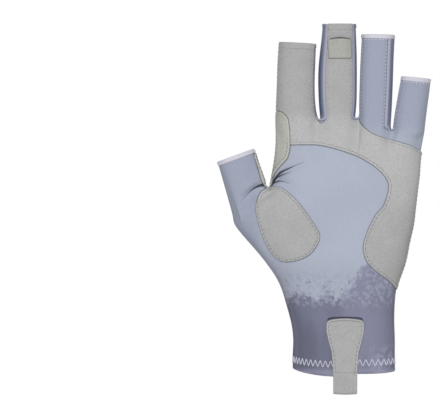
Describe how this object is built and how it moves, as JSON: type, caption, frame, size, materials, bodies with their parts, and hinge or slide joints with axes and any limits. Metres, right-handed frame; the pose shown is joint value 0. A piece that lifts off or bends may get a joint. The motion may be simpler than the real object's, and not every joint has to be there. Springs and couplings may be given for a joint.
{
  "type": "fingerless fishing glove",
  "caption": "Left-hand fingerless sun and fishing glove in stretch cloth with suede palm patches, a wrist pull tab and a finger pull loop, in its worn shape.",
  "frame": {"origin": "middle of the cuff's opening, where the hand goes in", "axes": "+Z from the cuff along the fingers, +Y towards the back of the hand, so the palm faces -Y, and the thumb lies towards -X"},
  "size_m": [0.1347, 0.0443, 0.2332],
  "materials": {
    "palm_lycra": "matt fine knit of nylon and elastane, smooth, with a faint sheen",
    "printed_lycra": "the same knit with a tone-on-tone print",
    "grey_suede": "short-napped synthetic suede, matt",
    "beige_suede": "short-napped synthetic suede, matt, slightly greener",
    "binding_tape": "white elastic binding tape"
  },
  "bodies": {
    "root": {"palm_panel": "palm_lycra", "back_panel": "printed_lycra", "fourchette_index_middle": "palm_lycra", "fourchette_middle_ring": "palm_lycra", "fourchette_ring_little": "palm_lycra", "suede_palm": "grey_suede", "suede_thenar": "grey_suede", "suede_thumb_web": "beige_suede", "finger_pull_loop": "beige_suede", "wrist_pull_tab": "beige_suede", "binding_thumb": "binding_tape", "binding_index": "binding_tape", "binding_middle": "binding_tape", "binding_ring": "binding_tape", "binding_little": "binding_tape", "cuff_hem": "printed_lycra"}
  },
  "joints": []
}
